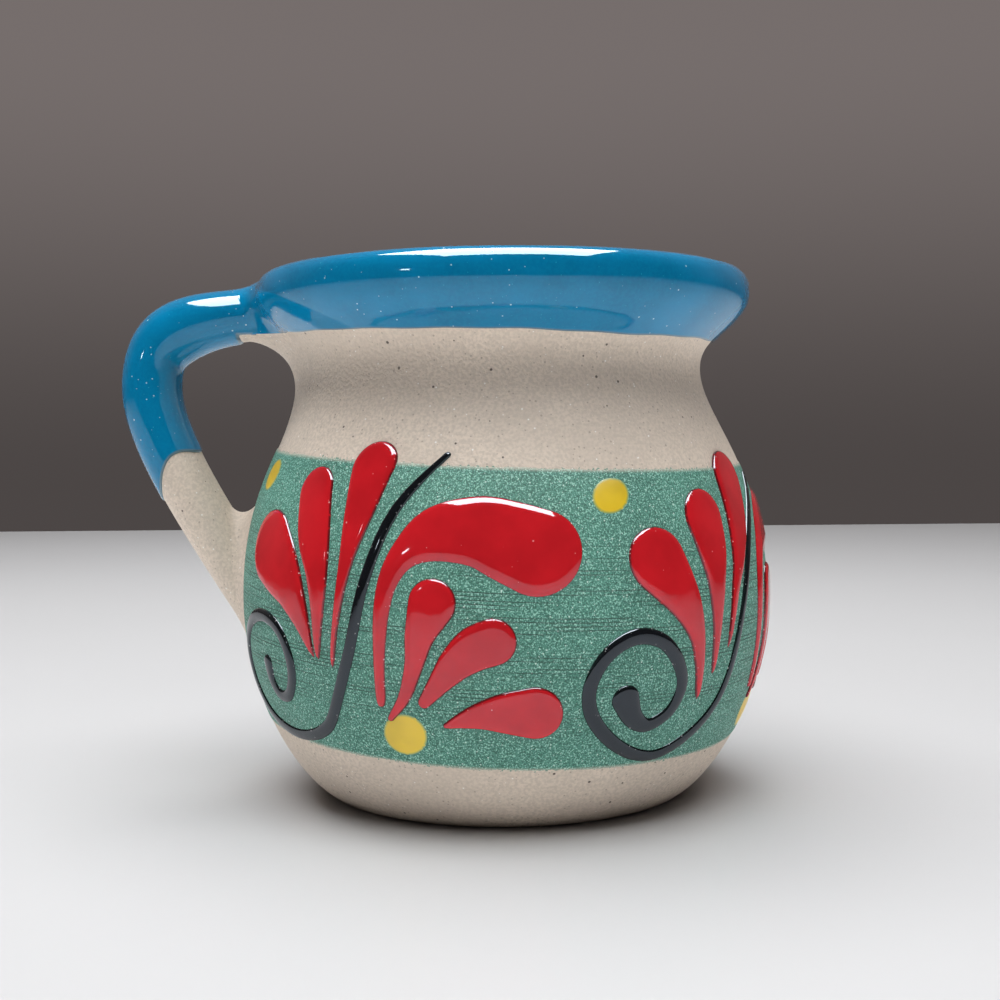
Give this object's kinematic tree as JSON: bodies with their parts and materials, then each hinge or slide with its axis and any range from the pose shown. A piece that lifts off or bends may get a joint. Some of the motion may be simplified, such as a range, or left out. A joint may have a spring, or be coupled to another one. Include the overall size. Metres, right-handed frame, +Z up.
{
  "type": "clay mug",
  "caption": "Round-bellied clay mug with a pulled strap handle, glazed rim and lining, a sponged band and raised enamel petals, scrolls and dots.",
  "frame": {"origin": "centre of the flat base, on the surface that the mug stands on", "axes": "+Z up; the handle points along -X; -Y is the side that the picture shows"},
  "size_m": [0.1217, 0.0994, 0.096],
  "materials": {
    "clay": "bare fired clay, matte, speckled",
    "slip": "smoothed fired slip, matte",
    "blue_glaze": "glossy blue glaze with light specks",
    "green_slip": "sponged green slip, matte, grainy",
    "red_enamel": "glossy raised red enamel",
    "black_enamel": "glossy raised black enamel",
    "yellow_enamel": "semi-gloss raised yellow enamel"
  },
  "bodies": {
    "root": {"pot": "clay", "handle": "clay", "upper_lute": "slip", "lower_lute": "slip", "rim_glaze": "blue_glaze", "liner_glaze": "blue_glaze", "handle_glaze": "blue_glaze", "green_band": "green_slip", "fan_petal_outer": "red_enamel", "fan_petal_middle": "red_enamel", "fan_petal_inner": "red_enamel", "scroll_line": "black_enamel", "comma_stroke": "red_enamel", "spray_petal_upper": "red_enamel", "spray_petal_middle": "red_enamel", "spray_petal_lower": "red_enamel", "shoulder_dot": "yellow_enamel", "spray_dot": "yellow_enamel"}
  },
  "joints": []
}
